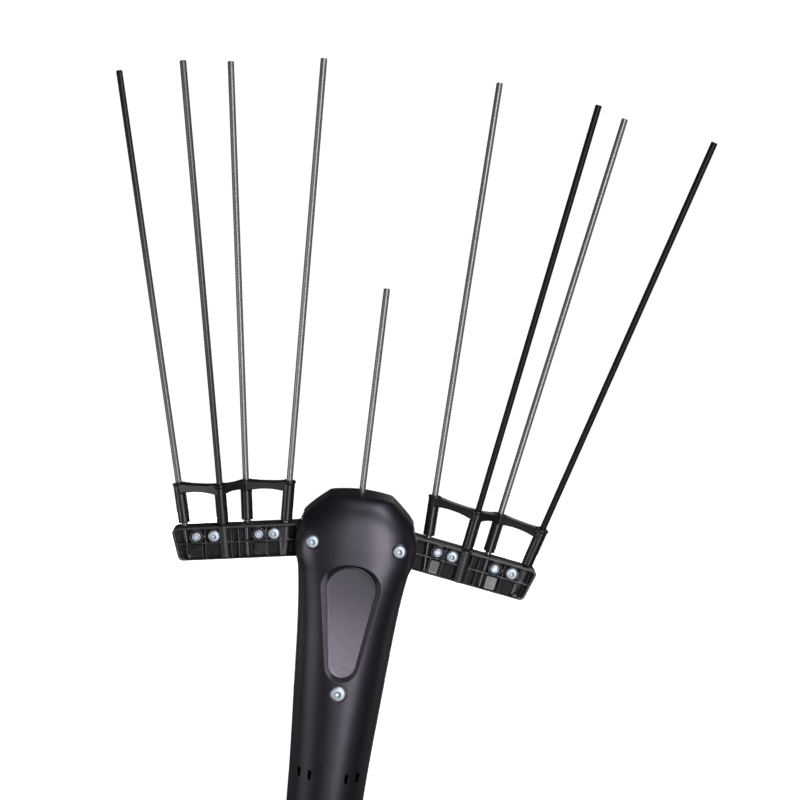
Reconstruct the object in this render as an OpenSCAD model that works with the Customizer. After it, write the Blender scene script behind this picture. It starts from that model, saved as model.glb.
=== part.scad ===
// Electric olive harvester head: two swinging combs with rod tines, a fixed
// centre tine, a clam-shell casing with motor and drive, and a pole socket.
// Origin: centre of the pole-socket mouth. +Z along the tool to the tines,
// front of the casing faces -Y. Millimetres.

/* [Head] */
// height of the comb pivots above the socket mouth
pivot_h = 300; // [260:1:340]
// pivot distance from the centre plane
pivot_x = 34; // [33.5:0.1:34.5]
// casing wall thickness
wall = 2.8; // [2.2:0.1:3.4]
// half depth of the arm slots in the casing sides
slot_y = 8.6; // [8.3:0.1:9.5]

/* [Combs] */
// downward slope of the comb bars at rest, degrees
droop = 9.4; // [8:0.1:11]
// tine diameter
tine_d = 5; // [4:0.1:6]
// tine length standing out above its sleeve
tine_out = 327.5; // [250:0.5:360]
// half depth of a comb bar
bar_y = 7.5; // [7:0.1:7.5]
// top edge of the bar above the pivot line
bar_top = 9.9; // [8:0.1:10]
// bottom edge of the bar below the pivot line
bar_bot = -17; // [-17.3:0.1:-15]
// sleeve diameter of the tine bridge
sleeve_d = 9.3; // [8:0.1:10]
// height of the sleeve tops above the pivot line
sleeve_top = 43.7; // [40:0.1:48]
// height of the sleeve feet above the pivot line
sleeve_bot = 11.8; // [11:0.1:14]
// length of the fixed centre tine above the roof
centre_out = 163; // [100:1:220]

/* [Drive] */
// gear module
gear_m = 1.25; // [1.2:0.01:1.26]
// pinion teeth
pinion_n = 11; // [11:1:11]
// crown gear teeth
crown_n = 33; // [33:1:33]
// distance from pivot to lever nose
lever = 14.5; // [14.3:0.1:14.6]
// crank throw
throw = 2.28; // [2:0.01:2.3]

/* [Pole socket] */
// socket bore diameter
socket_d = 30.2; // [30.05:0.05:30.5]
// socket bore depth
socket_depth = 46; // [46:1:46]

/* [Hidden] */

tine_r = tine_d / 2;
sleeve_r = sleeve_d / 2;
black = [0.09, 0.09, 0.10];
steel = [0.72, 0.73, 0.75];
bronze = [0.70, 0.52, 0.30];
carbon = [0.20, 0.20, 0.21];

// tine rows, outer to inner: position along the bar and row depth at the
// sleeve tops, slant in the comb plane, lean out of it, row side
tn_u = [105.7, 71.9, 52.4, 17.0];
tn_y = [6.2, 7.2, 6.9, 4.4];
tn_a = [5.4, 0.93, -0.92, -7.65];
tn_l = [5.8, 5.2, 2.8, 3.1];
tn_s = [1, -1, 1, -1];
// clamp bolts along the bar, and the face that carries the head (-1 front)
cb_u = [92.9, 78.9, 43.4, 31.4];
cb_s = [1, -1, 1, -1];
cb_v = 1.8;

// ---------------------------------------------------------------- helpers
module head() { translate([0, 0, pivot_h]) children(); }
// plate standing in the XZ plane between two depths
module slab(y0, y1) { translate([0, y1, 0]) rotate([90, 0, 0]) linear_extrude(y1 - y0) children(); }
// round bar along Y between two depths
module rod_y(x, z, r, y0, y1) { translate([x, y1, z]) rotate([90, 0, 0]) cylinder(r = r, h = y1 - y0, $fn = 64); }
module tube_z(ro, ri, z0, z1) {
  difference() {
    translate([0, 0, z0]) cylinder(r = ro, h = z1 - z0, $fn = 96);
    translate([0, 0, z0 - 1]) cylinder(r = ri, h = z1 - z0 + 2, $fn = 96);
  }
}
module tube_y(x, z, ro, ri, y0, y1) {
  difference() { rod_y(x, z, ro, y0, y1); rod_y(x, z, ri, y0 - 1, y1 + 1); }
}
function arc(cx, cy, r, a0, a1, n) = [for (i = [0:n]) [cx + r * cos(a0 + (a1 - a0) * i / n), cy + r * sin(a0 + (a1 - a0) * i / n)]];

// ---------------------------------------------------------------- casing
// half width, half depth, side band and squareness of the casing by height
zw = [[-260, 29.4], [-222, 31.1], [-196, 32.0], [-170, 33.3], [-145, 34.8], [-119, 36.4], [-94, 37.9], [-69, 39.5], [-48, 41.1], [-34, 42.6], [-22.4, 44.1]];
zb = [[-260, 29.2], [-222, 30.6], [-196, 31.4], [-170, 32.2], [-145, 33.0], [-119, 33.8], [-94, 34.5], [-69, 35.1], [-48, 35.6], [-22.4, 36], [-4, 36]];
zs = [[-260, 0.8], [-69, 1.2], [-48, 3.5], [-34, 6.5], [-22.4, 9.2], [13.4, 9.2], [15.6, 6.5], [34, 10], [37, 10]];
zn = [[-260, 2.1], [-145, 2.3], [-94, 2.5], [-48, 2.8], [-20, 3.0], [37, 2.7]];
function half_w(z) = z < -22.3 ? lookup(z, zw)
  : z < 13.45 ? 48 - 0.0152 * pow(z + 4.3, 2)
  : z < 15.3 ? 43.1 + (z - 13.45) * 0.25
  : z < 34.05 ? 44.4 - 19.1 * pow((z - 15.3) / 18.7, 1.18)
  : 25.3 * sqrt(max(0.004, (36.65 - z) / 2.6));
function half_d(z) = z < -4 ? lookup(z, zb) : 10.5 + 25.5 * sqrt(max(0, 1 - pow((z + 4) / 41.2, 2)));
function band(z) = lookup(z, zs);
function sq(z) = lookup(z, zn);
function depth(x, a, b, w, n) = w + (b - w) * pow(max(0, 1 - pow(min(1, abs(x) / a), n)), 1 / n);
function ring(z, a, b, w, n, m, ye) = concat([[-a, ye, z]],
  [for (j = [0:m]) let (x = -a * cos(180 * j / m)) [x, -depth(x, a, b, w, n), z]], [[a, ye, z]]);
module loft(rings) {
  k = len(rings); c = len(rings[0]);
  pts = [for (r = rings) for (p = r) p];
  side = [for (i = [0:k - 2]) for (j = [0:c - 1]) let (j2 = (j + 1) % c)
    each [[i * c + j, (i + 1) * c + j, i * c + j2], [i * c + j2, (i + 1) * c + j, (i + 1) * c + j2]]];
  polyhedron(points = pts, faces = concat(side, [[for (j = [0:c - 1]) j]], [[for (j = [c - 1:-1:0]) (k - 1) * c + j]]), convexity = 8);
}
lev_o = [-260, -222, -196, -170, -145, -119, -94, -69, -48, -34, -22.45, -22.2, -16, -10, -4.3, 2, 7, 11, 13.4, 13.6, 15.2, 15.6, 20, 24.5, 29, 34, 35.2, 36.1, 36.55];
lev_i = [-254, -196, -145, -94, -48, -30, -20, -4, 9, 16, 21, 26, 31, 33.2];
function in_w(z) = z < 10 ? half_w(z) - wall : min(half_w(z + 2.2) - wall, 40.4);
module casing_outer() { loft([for (z = lev_o) ring(z, half_w(z), half_d(z), band(z), sq(z), 24, 0)]); }
module casing_inner() { loft([for (z = lev_i) ring(z, in_w(z), half_d(min(z + 2, 36)) - wall, max(0.5, band(z) - 0.6), sq(z), 16, 1)]); }

// outline of the badge, wide round top and narrow round foot, and the rim of
// the sloping recess that it lies in
function badge_pts(g) = concat(arc(0, -36.4, 20.2 + g, 12, 168, 16), arc(0, -95.6, 10.9 + g, 180, 360, 14));
function rim_pts() = concat(arc(0, -38.6, 24.5, 14, 166, 16), arc(0, -96.7, 13.7, 180, 360, 14));
module vents() {
  for (x = [-23.5, -14.8, 14.8, 23.5]) slab(-40, -12)
    polygon(concat(arc(x, -187.5, 1.5, 0, 180, 8), arc(x, -193.5, 1.2, 180, 360, 8)));
}
module front_shell() {
  color(black) head() difference() {
    casing_outer();
    difference() {
      casing_inner();
      for (s = [-1, 1]) rod_y(s * pivot_x, 0, 7.6, -36, -8.4);
      rod_y(0, -119.2, 6.5, -36, -0.2);
      for (s = [-1, 1]) rod_y(s * 20, -232, 4.2, -34, -0.2);
      slab(-36, -29.7) polygon(badge_pts(4));
    }
    for (s = [-1, 1]) {
      translate([s * 40 - 20, -slot_y, -22.3]) cube([40, slot_y + 2, 35.75]);
      rod_y(s * pivot_x, 0, 6.0, -42, -30.3);
      rod_y(s * pivot_x, 0, 3.1, -42, -5);
      rod_y(s * pivot_x, 0, 5.03, -24, -5);
      rod_y(s * 20, -232, 1.95, -14, 2);
    }
    rod_y(0, -119.2, 7.0, -42, -32.4);
    rod_y(0, -119.2, 3.1, -42, 2);
    hull() { slab(-32, -31.8) polygon(badge_pts(0)); slab(-36.6, -36.4) polygon(rim_pts()); }
    translate([0, 0, 28]) cylinder(r = 2.8, h = 12, $fn = 48);
    translate([0, 0, -262]) cylinder(r = 18.05, h = 12, $fn = 96);
    vents();
  }
}
module rear_shell() {
  color(black) head() difference() {
    mirror([0, 1, 0]) casing_outer();
    difference() {
      mirror([0, 1, 0]) casing_inner();
      for (s = [-1, 1]) rod_y(s * pivot_x, 0, 7.6, 23.4, 36);
      rod_y(0, -119.2, 6.5, 0.2, 36);
      for (s = [-1, 1]) rod_y(s * 20, -232, 4.9, 0.2, 34);
    }
    for (s = [-1, 1]) {
      translate([s * 40 - 20, -2, -22.3]) cube([40, slot_y + 2, 35.75]);
      rod_y(s * pivot_x, 0, 3.1, 5, 42);
      rod_y(s * pivot_x, 0, 5.03, 5, 24);
      rod_y(s * pivot_x, 0, 6.1, 26, 42);
      rod_y(s * 20, -232, 2.1, -2, 30);
      rod_y(s * 20, -232, 4.2, 18, 40);
    }
    rod_y(0, -119.2, 3.1, -2, 42);
    rod_y(0, -119.2, 6.1, 26, 42);
    translate([0, 0, 28]) cylinder(r = 2.8, h = 12, $fn = 48);
    translate([0, 0, -262]) cylinder(r = 18.05, h = 12, $fn = 96);
    mirror([0, 1, 0]) vents();
  }
}
module badge_plate() { color([0.20, 0.20, 0.21]) head() slab(-32.9, -31.81) polygon(badge_pts(-0.25)); }

// ---------------------------------------------------------------- casing fasteners
// button head with a six-sided socket, head towards -Y
module button_y(x, z, y, rh, hh, r, len, af) {
  difference() {
    union() { rod_y(x, z, rh, y - hh * 0.45, y); 
      translate([x, y - hh * 0.45, z]) rotate([90, 0, 0]) cylinder(r1 = rh, r2 = rh * 0.62, h = hh * 0.55, $fn = 64);
      rod_y(x, z, r, y - 0.1, y + len); }
    translate([x, y - hh * 0.35, z]) rotate([90, 0, 0]) cylinder(r = af / sqrt(3), h = hh, $fn = 6);
  }
}
module nut_y(x, z, y0, y1, af, r) {
  difference() {
    translate([x, y1, z]) rotate([90, 0, 0]) cylinder(r = af / sqrt(3), h = y1 - y0, $fn = 6);
    rod_y(x, z, r, y0 - 1, y1 + 1);
  }
}
module pivot_bolts() { color(steel) head() for (s = [-1, 1]) button_y(s * pivot_x, 0, -30.3, 5.25, 3.3, 3, 61.6, 4); }
module pivot_nuts() { color(steel) head() for (s = [-1, 1]) nut_y(s * pivot_x, 0, 26.05, 31, 10, 3.05); }
module pivot_sleeves() { color(steel) head() for (s = [-1, 1]) tube_y(s * pivot_x, 0, 5, 3.1, -23.95, 23.95); }
module thrust_washers() { color(bronze) head() for (s = [-1, 1], y = [-8.25, 7.6]) tube_y(s * pivot_x, 0, 8.2, 5.05, y, y + 0.65); }
module case_screw() { color(steel) head() button_y(0, -119.2, -32.4, 6.4, 3.4, 3, 63.2, 4); }
module case_nut() { color(steel) head() nut_y(0, -119.2, 26.05, 31, 10, 3.05); }
module lower_case_screws() { color(steel) head() for (s = [-1, 1]) mirror([0, 1, 0]) button_y(s * 20, -232, -18, 3.9, 2.6, 1.9, 30.5, 2.5); }

// ---------------------------------------------------------------- gear frame and motor
module gear_frame() {
  color([0.62, 0.63, 0.65]) head() difference() {
    union() {
      translate([0, 0, -36]) cylinder(r = 29.5, h = 4.5, $fn = 96);
      slab(19.6, 23.2) polygon([[-15, -36], [15, -36], [15, 8], [9, 25], [-9, 25], [-15, 8]]);
      slab(19.6, 21.6) polygon([[-pivot_x, -6.5], [pivot_x, -6.5], [pivot_x, 6.5], [-pivot_x, 6.5]]);
      translate([-14, -5, 24.4]) cube([28, 25.6, 3.6]);
      for (s = [-1, 1]) { rod_y(s * pivot_x, 0, 6.9, 8.35, 21.6); rod_y(s * pivot_x, 0, 5.9, 21, 23.2); }
      for (s = [-1, 1]) translate([s * 13.5 - 1.5, 0, 0]) rotate([90, 0, 90]) linear_extrude(3) polygon([[10, -32], [20, -32], [20, -24]]);
    }
    for (s = [-1, 1]) rod_y(s * pivot_x, 0, 5.05, 5, 26);
    rod_y(0, 0, 4.02, 15, 26);
    translate([0, 0, -40]) cylinder(r = 8.85, h = 12, $fn = 64);
    for (s = [-1, 1]) translate([s * 11, -1, -34]) cylinder(r = 2.02, h = 70, $fn = 48);
    for (s = [-1, 1]) translate([0, s * 14.5, -40]) cylinder(r = 2.1, h = 12, $fn = 48);
    translate([0, 0, 20]) cylinder(r = 2.53, h = 12, $fn = 48);
  }
}
module motor_screws() {
  color(steel) head() for (s = [-1, 1]) translate([0, s * 14.5, 0]) difference() {
    union() { translate([0, 0, -38]) cylinder(r = 1.95, h = 7, $fn = 48); translate([0, 0, -31.48]) cylinder(r = 3.4, h = 2.6, $fn = 48); }
    translate([0, 0, -30]) cylinder(r = 1.5, h = 3, $fn = 6);
  }
}
module motor_can() {
  color([0.55, 0.56, 0.58]) head() difference() {
    union() { translate([0, 0, -103]) cylinder(r = 22.25, h = 66.98, $fn = 96); translate([0, 0, -37]) cylinder(r = 8.75, h = 5.4, $fn = 64); }
    translate([0, 0, -104]) cylinder(r = 20.4, h = 66, $fn = 96);
    translate([0, 0, -39]) cylinder(r = 6.52, h = 5.5, $fn = 64);
    translate([0, 0, -40]) cylinder(r = 3.2, h = 12, $fn = 48);
    for (s = [-1, 1]) translate([0, s * 14.5, -40]) cylinder(r = 2.0, h = 8, $fn = 48);
  }
}
module motor_magnets() {
  color([0.30, 0.30, 0.32]) head() difference() {
    tube_z(20.35, 17.3, -96, -44);
    for (s = [-1, 1]) translate([-5, s * 20 - 12, -97]) cube([10, 24, 54]);
  }
}
module motor_end_bell() {
  color([0.12, 0.12, 0.13]) head() difference() {
    union() {
      translate([0, 0, -109]) cylinder(r = 20.35, h = 8, $fn = 96);
      translate([0, 0, -109]) cylinder(r = 22.25, h = 5.98, $fn = 96);
      for (s = [-1, 1]) translate([s * 14 - 3, -0.4, -114]) cube([6, 0.8, 6]);
    }
    translate([0, 0, -104.6]) cylinder(r = 18, h = 6, $fn = 96);
    translate([0, 0, -110]) cylinder(r = 6.52, h = 5.02, $fn = 64);
    translate([0, 0, -110]) cylinder(r = 3.2, h = 12, $fn = 48);
    for (s = [-1, 1]) translate([s * 14 - 1, -1, -113]) cube([2, 2, 2.4]);
  }
}
module motor_brushes() { color([0.22, 0.20, 0.19]) head() for (s = [-1, 1]) translate([s * 12.4 - 5, -3, -104.55]) cube([10, 6, 5.5]); }
module motor_bearings() { color(steel) head() for (z = [-38.6, -109]) translate([0, 0, z]) tube_z(6.5, 2.53, 0, 4); }
module motor_shaft() { color(steel) head() translate([0, 0, -112]) cylinder(r = 2.5, h = 95, $fn = 48); }
module armature() {
  color([0.60, 0.35, 0.18]) head() difference() {
    tube_z(16.6, 2.52, -90, -48);
    for (i = [0:9]) rotate([0, 0, 36 * i]) translate([10, -1.4, -91]) cube([10, 2.8, 44]);
  }
}
module commutator() { color([0.75, 0.45, 0.22]) head() tube_z(7.1, 2.52, -104, -93); }

// ---------------------------------------------------------------- drive
pr = gear_m * pinion_n / 2;
cr = gear_m * crown_n / 2;
function inv(a) = tan(a) * 180 / PI - a;
function half_ang(r, rp, th) = let (rb = rp * cos(20)) th / (2 * rp) * 180 / PI + inv(20) - (r <= rb ? 0 : inv(acos(rb / r)));
function spur(n, m, ra, rf, th) = let (rp = m * n / 2, rb = rp * cos(20), q = 5)
  [for (i = [0:n - 1]) let (c = 360 * i / n) each concat(
    [[rf * cos(c - half_ang(rb, rp, th)), rf * sin(c - half_ang(rb, rp, th))]],
    [for (k = [0:q]) let (r = rb + (ra - rb) * k / q, h = half_ang(r, rp, th)) [r * cos(c - h), r * sin(c - h)]],
    [for (k = [q:-1:0]) let (r = rb + (ra - rb) * k / q, h = half_ang(r, rp, th)) [r * cos(c + h), r * sin(c + h)]],
    [[rf * cos(c + half_ang(rb, rp, th)), rf * sin(c + half_ang(rb, rp, th))]])];
module drive_pinion() {
  color(steel) head() translate([0, 0, -23.2]) difference() {
    union() { rotate([0, 0, 90]) linear_extrude(5.2) polygon(spur(pinion_n, gear_m, pr + 1.0, pr - 1.6, 1.55));
      translate([0, 0, -4]) cylinder(r = 4.8, h = 4.2, $fn = 48); }
    translate([0, 0, -5]) cylinder(r = 2.52, h = 12, $fn = 48);
  }
}
gap_t = 1.62; gap_r = 0.62;
module crown_gear() {
  color([0.66, 0.66, 0.68]) head() difference() {
    union() {
      difference() {
        rod_y(0, 0, 22.3, pr - 1.0, 12.2);
        for (i = [0:crown_n - 1]) rotate([0, 360 * i / crown_n, 0]) translate([0, 0, -25]) linear_extrude(8)
          polygon([[-gap_t - 0.1, pr - 1.46], [gap_t + 0.1, pr - 1.46], [gap_r, pr + 1.62], [-gap_r, pr + 1.62]]);
        rod_y(0, 0, 18.6, 0, pr + 1.5);
      }
      rod_y(0, 0, 14, 10, 19.2);
    }
    rod_y(0, 0, 11.01, 12.2, 22);
    rod_y(throw, 0, 2.02, 4, 13);
  }
}
module crank_pin() { color(steel) head() rod_y(throw, 0, 2, 4.9, 12); }
module crank_roller() { color(bronze) head() tube_y(throw, 0, 4, 2.03, 4.95, 8.3); }
module crank_bearing() { color(steel) head() tube_y(0, 0, 11, 4.03, 12.25, 19.15); }
module crank_axle() { color(steel) head() { rod_y(0, 0, 4, 12.7, 24); rod_y(0, 0, 6.2, 23.25, 25.4); } }
module guide_rods() { color(steel) head() for (s = [-1, 1]) translate([s * 11, -1, -33.9]) cylinder(r = 2, h = 61.5, $fn = 48); }
module drive_yoke() {
  color([0.58, 0.59, 0.62]) head() difference() {
    translate([-22.4, -5, -9]) cube([44.8, 9.5, 18]);
    for (s = [-1, 1]) {
      translate([s * (pivot_x - lever), 10, 0]) rotate([90, 0, 0]) cylinder(r = 4.06, h = 20, $fn = 64);
      translate([s * (pivot_x - lever) + (s > 0 ? 0 : -8), -10, -4.06]) cube([8, 20, 8.12]);
      translate([s * 11, -1, -12]) cylinder(r = 3.02, h = 24, $fn = 48);
    }
    translate([-2.3, 2.4, -4.06]) cube([4.6, 4, 8.12]);
    for (s = [-1, 1]) rod_y(s * 2.3, 0, 4.06, 2.4, 6);
  }
}
module yoke_bushes() { color(bronze) head() for (s = [-1, 1]) translate([s * 11, -1, 0]) tube_z(3, 2.04, -9, 9); }

// ---------------------------------------------------------------- fixed centre tine
module centre_tine() { color(carbon) head() translate([0, 0, 25]) { cylinder(r = tine_r, h = 11.6 + centre_out - 0.6, $fn = 48); translate([0, 0, 11.6 + centre_out - 0.6]) cylinder(r1 = tine_r, r2 = tine_r - 0.6, h = 0.6, $fn = 48); } }
module tine_ferrule() { color(steel) head() tube_z(5.6, 2.54, 28.05, 33); }

// ---------------------------------------------------------------- pole socket
sr = socket_d / 2;
module pole_socket() {
  color([0.70, 0.71, 0.73]) difference() {
    union() { cylinder(r = 18, h = 50, $fn = 96); translate([0, 0, 46.05]) cylinder(r = 22, h = 3.9, $fn = 96); }
    translate([0, 0, -1]) cylinder(r = sr, h = socket_depth + 1, $fn = 96);
    cylinder(r = 11, h = 60, $fn = 96);
    translate([-1, 0, -1]) cube([2, 30, 34]);
  }
}
module clamp_collar() {
  color(black) difference() {
    union() { translate([0, 0, 9]) cylinder(r = 23.5, h = 22, $fn = 96); translate([-9.5, 15, 9]) cube([19, 21, 22]); }
    translate([0, 0, 8]) cylinder(r = 18.03, h = 24, $fn = 96);
    translate([-1.5, 10, 8]) cube([3, 40, 24]);
    translate([-20, 29, 20]) rotate([0, 90, 0]) cylinder(r = 3.1, h = 40, $fn = 48);
    translate([6, 29, 20]) rotate([0, 90, 0]) cylinder(r = 5.9, h = 12, $fn = 6);
  }
}
module clamp_bolt() {
  color(steel) difference() {
    translate([0, 29, 20]) rotate([0, 90, 0]) union() { translate([0, 0, -15.5]) cylinder(r = 5, h = 6, $fn = 64); translate([0, 0, -9.52]) cylinder(r = 3, h = 21, $fn = 48); }
    translate([-17, 29, 20]) rotate([0, 90, 0]) cylinder(r = 2.9, h = 4.5, $fn = 6);
  }
}
module clamp_nut() {
  color(steel) difference() {
    translate([6.03, 29, 20]) rotate([0, 90, 0]) cylinder(r = 5.77, h = 4.9, $fn = 6);
    translate([5, 29, 20]) rotate([0, 90, 0]) cylinder(r = 3.05, h = 8, $fn = 48);
  }
}
module power_connector() {
  color([0.85, 0.84, 0.80]) head() difference() {
    union() { translate([-9, -6, -249.98]) cube([18, 12, 13]); translate([-8, -5, -253.4]) cube([16, 10, 4.4]); }
    for (s = [-1, 1]) translate([s * 4.2, 0, -246]) cylinder(r = 2.9, h = 12, $fn = 32);
    for (s = [-1, 1]) translate([s * 4.2 - 2, -3, -259]) cube([4, 6, 8]);
  }
}
// insulated lead: round tube swept along a smooth route, then its tab sleeve
function bez(p, t) = let (u = 1 - t) u * u * u * p[0] + 3 * u * u * t * p[1] + 3 * u * t * t * p[2] + t * t * t * p[3];
function unit(v) = v / norm(v);
module sweep(c, r) {
  k = len(c); m = 14;
  pts = [for (i = [0:k - 1]) let (t = unit(c[min(i + 1, k - 1)] - c[max(i - 1, 0)]), n = unit(cross(t, [0, 1, 0])), q = cross(t, n))
    for (j = [0:m - 1]) c[i] + r * (n * cos(360 * j / m) + q * sin(360 * j / m))];
  polyhedron(points = pts, faces = concat(
    [for (i = [0:k - 2]) for (j = [0:m - 1]) let (j2 = (j + 1) % m) each [[i * m + j, (i + 1) * m + j, i * m + j2], [i * m + j2, (i + 1) * m + j, (i + 1) * m + j2]]],
    [[for (j = [0:m - 1]) j]], [[for (j = [m - 1:-1:0]) (k - 1) * m + j]]), convexity = 6);
}
module lead(s) {
  c = concat([for (i = [0:7]) bez([[s * 14, -2, -113.9], [s * 14, -2, -122], [s * 15, -6, -126], [s * 15, -6, -150]], i / 7)],
    [for (i = [1:9]) bez([[s * 15, -6, -150], [s * 15, -6, -200], [s * 4.2, 0, -212], [s * 4.2, 0, -245.9]], i / 9)]);
  head() { sweep(c, 1.8); translate([s * 14 - 2.4, -3.6, -114.2]) cube([4.8, 3.1, 4.5]); }
}
module lead_plus() { color([0.65, 0.08, 0.07]) lead(1); }
module lead_minus() { color([0.08, 0.08, 0.09]) lead(-1); }

// ---------------------------------------------------------------- combs
// comb frame of the left arm: origin on its pivot axis, bar towards -X, rows
// along Y; the right comb is the same comb turned half round the tool axis
module comb(side) { head() rotate([0, 0, side > 0 ? 180 : 0]) translate([-pivot_x, 0, 0]) children(); }
module bar() { rotate([0, -droop, 0]) children(); }
function tn_L(i) = sqrt(1 + pow(tan(tn_a[i]), 2) + pow(tan(tn_l[i]), 2));
function tn_at(i, v) = [-(tn_u[i] + (v - sleeve_top) * tan(tn_a[i])), tn_s[i] * (tn_y[i] + (v - sleeve_top) * tan(tn_l[i])), v];
module along(i, v) { translate(tn_at(i, v)) rotate([-asin(tn_s[i] * tan(tn_l[i]) / tn_L(i)), -tn_a[i], 0]) children(); }

// outline of a bar from the casing to its slanted, rounded outer end
function bar_pts(g) = concat([[-12, bar_bot + g], [-12, bar_top - g]],
  [for (p = arc(-107.4, bar_top - 4.6, 4.6 - g, 90, 170, 6)) p],
  [for (p = arc(-103.9, bar_bot + 4.6, 4.6 - g, 190, 270, 6)) p]);
// inside line of the rim, which is thin along the lower edge of a bar
rim_in = concat([[-12.01, bar_bot + 1.2], [-12.01, bar_top - 2.3]],
  arc(-107.4, bar_top - 4.6, 2.3, 90, 170, 6), arc(-103.9, bar_bot + 4.6, 2.3, 190, 270, 6),
  [[-101, bar_bot + 1.2]]);
// one half of a split comb arm; f = -1 front half, +1 rear half
module arm_half(f) {
  y0 = f < 0 ? -bar_y : 0; y1 = f < 0 ? 0 : bar_y;
  w0 = f < 0 ? -2.4 : 0; w1 = f < 0 ? 0 : 2.4;
  color(black) difference() {
    union() {
      bar() {
        slab(w0, w1) polygon(bar_pts(0));
        slab(y0, y1) difference() { polygon(bar_pts(0)); polygon(rim_in); }
        slab(y0 * 0.86, y1 * 0.86) {
          translate([-108, -4.3]) square([96, 1.6]);
          for (u = [85.9, 65.4, 59.4, 37.4, 27.2]) translate([-u - 0.7, bar_bot]) square([1.4, bar_top - bar_bot - 1]);
          translate([-101, bar_bot + 4.6]) square([0.01 + 1.4, 8]);
        }
        slab(y0 * 0.62, y1 * 0.62) for (j = [0:3]) if (cb_s[j] != f) translate([-cb_u[j] - 4.6, bar_bot]) square([9.2, 12.6]);
        for (i = [0:3]) intersection() {
          along(i, bar_bot - 8) cylinder(r = sleeve_r, h = 60, $fn = 64);
          translate([-115, f < 0 ? -11 : 0, bar_bot]) cube([110, 11, bar_top - bar_bot]);
        }
        // half-round ridge in line with each tine of the other row
        for (i = [0:3]) if (tn_s[i] != f) intersection() {
          translate([-(tn_u[i] + (bar_bot - 4 - sleeve_top) * tan(tn_a[i])), f * 2.6, bar_bot - 4]) rotate([0, -tn_a[i], 0]) cylinder(r = 2, h = 40, $fn = 48);
          translate([-115, f < 0 ? -11 : 0, bar_bot]) cube([110, 11, bar_top - bar_bot - 1]);
        }
        for (j = [0:3]) rod_y(-cb_u[j], cb_v, cb_s[j] == f ? 5.5 : 5.7, cb_s[j] == f ? (f < 0 ? -5.4 : 0) : (f < 0 ? -7.2 : 0), cb_s[j] == f ? (f < 0 ? 0 : 5.4) : (f < 0 ? 0 : 7.2));
      }
      rod_y(0, 0, 10.6, y0, y1);
      bar() slab(y0, y1) polygon([[0, 10.6], [-13, bar_top], [-13, bar_bot], [-2.5, -10.3]]);
      slab(f < 0 ? -3.5 : 0, f < 0 ? 0 : 3.5) polygon([[0, -3.4], [lever, -2.9], [lever, 2.9], [0, 3.4]]);
      rod_y(lever, 0, 4, f < 0 ? -3.5 : 0, f < 0 ? 0 : 3.5);
    }
    rod_y(0, 0, 7.02, -20, 20);
    bar() {
      for (i = [0:3]) along(i, -13.6) cylinder(r = tine_r + 0.03, h = 40, $fn = 48);
      for (j = [0:3]) {
        rod_y(-cb_u[j], cb_v, 2.6, -20, 20);
        if (cb_s[j] == f) rod_y(-cb_u[j], cb_v, 4.95, f < 0 ? -20 : 5.41, f < 0 ? -5.41 : 20);
        if (cb_s[j] != f) translate([-cb_u[j], f < 0 ? -3 : 12, cb_v]) rotate([90, 0, 0]) cylinder(r = 4.68, h = 9, $fn = 6);
      }
    }
  }
}
module pivot_bush() { color(bronze) tube_y(0, 0, 7, 5.05, -bar_y, bar_y); }
module web(i) {
  a = tn_at(i, 40); b = tn_at(i + 1, 40);
  d = [b[0] - a[0], b[1] - a[1]]; l = norm(d);
  translate([a[0], a[1], 0]) rotate([0, 0, atan2(d[1], d[0])]) slab(-4.4, 4.4)
    polygon(concat([for (k = [0:8]) [l * k / 8, 35.2 + 2.4 * sin(180 * k / 8)]], [for (k = [8:-1:0]) [l * k / 8, 43.9 - 0.9 * sin(180 * k / 8)]]));
}
module tine_bridge() {
  color(black) bar() difference() {
    union() {
      for (i = [0:3]) {
        along(i, sleeve_bot) cylinder(r = sleeve_r, h = (sleeve_top - sleeve_bot) * tn_L(i), $fn = 64);
        along(i, sleeve_top - 1.7) cylinder(r = sleeve_r + 0.55, h = 1.7 * tn_L(i), $fn = 64);
      }
      for (i = [0:2]) web(i);
    }
    for (i = [0:3]) along(i, sleeve_bot - 6) cylinder(r = tine_r + 0.03, h = 50, $fn = 48);
  }
}
module tine(i) {
  l = (sleeve_top + 13.5) * tn_L(i) + tine_out;
  color(carbon) bar() along(i, -13.5) { cylinder(r = tine_r, h = l - 0.6, $fn = 48); translate([0, 0, l - 0.6]) cylinder(r1 = tine_r, r2 = tine_r - 0.6, h = 0.6, $fn = 48); }
}
module clamp_bolts() {
  color(steel) bar() for (j = [0:3]) translate([-cb_u[j], 0, cb_v]) mirror([0, cb_s[j] > 0 ? 1 : 0, 0]) button_y(0, 0, -5.42, 4.75, 2.8, 2.5, 12.6, 3);
}
module clamp_nuts() {
  color(steel) bar() for (j = [0:3]) translate([-cb_u[j], 0, cb_v]) mirror([0, cb_s[j] > 0 ? 1 : 0, 0]) nut_y(0, 0, 3.03, 6.9, 8, 2.55);
}
module left_arm_front() { comb(-1) arm_half(-1); }
module left_arm_rear() { comb(-1) arm_half(1); }
module left_pivot_bush() { comb(-1) pivot_bush(); }
module left_tine_bridge() { comb(-1) tine_bridge(); }
module left_tine_1() { comb(-1) tine(0); }
module left_tine_2() { comb(-1) tine(1); }
module left_tine_3() { comb(-1) tine(2); }
module left_tine_4() { comb(-1) tine(3); }
module left_clamp_bolts() { comb(-1) clamp_bolts(); }
module left_clamp_nuts() { comb(-1) clamp_nuts(); }
module right_arm_front() { comb(1) arm_half(1); }
module right_arm_rear() { comb(1) arm_half(-1); }
module right_pivot_bush() { comb(1) pivot_bush(); }
module right_tine_bridge() { comb(1) tine_bridge(); }
module right_tine_1() { comb(1) tine(0); }
module right_tine_2() { comb(1) tine(1); }
module right_tine_3() { comb(1) tine(2); }
module right_tine_4() { comb(1) tine(3); }
module right_clamp_bolts() { comb(1) clamp_bolts(); }
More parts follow.
